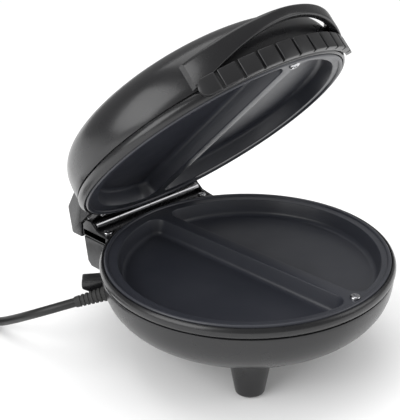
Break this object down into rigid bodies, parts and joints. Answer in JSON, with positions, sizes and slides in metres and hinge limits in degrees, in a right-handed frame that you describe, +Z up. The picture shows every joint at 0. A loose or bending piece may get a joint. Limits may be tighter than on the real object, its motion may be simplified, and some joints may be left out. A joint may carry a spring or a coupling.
{
  "type": "electric omelette maker",
  "caption": "Countertop omelette cooker: round bowl-shaped base on feet, domed lid on a rear hinge, non-stick plates with half-moon wells, arched handle, cord with plug.",
  "frame": {"origin": "on the table, in the plane of the foot pads' undersides, under the middle of the box round the machine with its lid raised and without its cord", "axes": "+X along the hinge, -Y towards the handle at the front, +Z up"},
  "size_m": [0.3362, 0.383, 0.2587],
  "materials": {
    "housing_plastic": "satin gloss, charcoal black",
    "plate_aluminium": "dark slate non-stick coating, satin",
    "element_steel": "dull",
    "reflector_aluminium": "bright sheet",
    "hinge_steel": "polished",
    "screw_steel": "bright",
    "foot_rubber": "matt",
    "inner_plastic": "matt",
    "wire_plastic": "satin",
    "cord_rubber": "satin",
    "plug_plastic": "satin",
    "blade_brass": "bright",
    "power_lens": "clear red",
    "ready_lens": "clear green",
    "lamp_glass": "clear"
  },
  "bodies": {
    "base": {"base_housing": "housing_plastic", "foot_pads": "foot_rubber", "base_bezel": "housing_plastic", "lower_cooking_plate": "plate_aluminium", "lower_heating_element": "element_steel", "lower_element_strap": "element_steel", "lower_heat_reflector": "reflector_aluminium", "thermostat": "inner_plastic", "thermal_fuse": "element_steel", "terminal_block": "inner_plastic", "cord_tail": "cord_rubber", "cord_clamp": "inner_plastic", "base_wiring": "wire_plastic", "base_hinge_leaf": "hinge_steel", "hinge_pin": "hinge_steel", "deck_screws": "screw_steel", "lower_plate_screw": "screw_steel", "lower_strap_screw": "screw_steel", "base_leaf_screws": "screw_steel", "strain_relief": "cord_rubber", "mains_cord": "cord_rubber", "cord_coil": "cord_rubber", "plug_body": "plug_plastic", "plug_blades": "blade_brass"},
    "lid": {"lid_housing": "housing_plastic", "lid_bezel": "housing_plastic", "upper_cooking_plate": "plate_aluminium", "upper_heating_element": "element_steel", "upper_element_strap": "element_steel", "upper_heat_reflector": "reflector_aluminium", "lid_hinge_leaf": "hinge_steel", "lid_handle": "housing_plastic", "front_grip": "housing_plastic", "power_lens": "power_lens", "ready_lens": "ready_lens", "indicator_lamps": "lamp_glass", "upper_plate_screw": "screw_steel", "lid_bezel_screws": "screw_steel", "upper_strap_screw": "screw_steel", "lid_leaf_screws": "screw_steel"}
  },
  "joints": [
    {"name": "lid_hinge", "type": "hinge", "parent": "base", "child": "lid", "pos_m": [0, 0.0949, 0.079], "axis": [1, 0, 0], "range_deg": [-7, 43]}
  ]
}
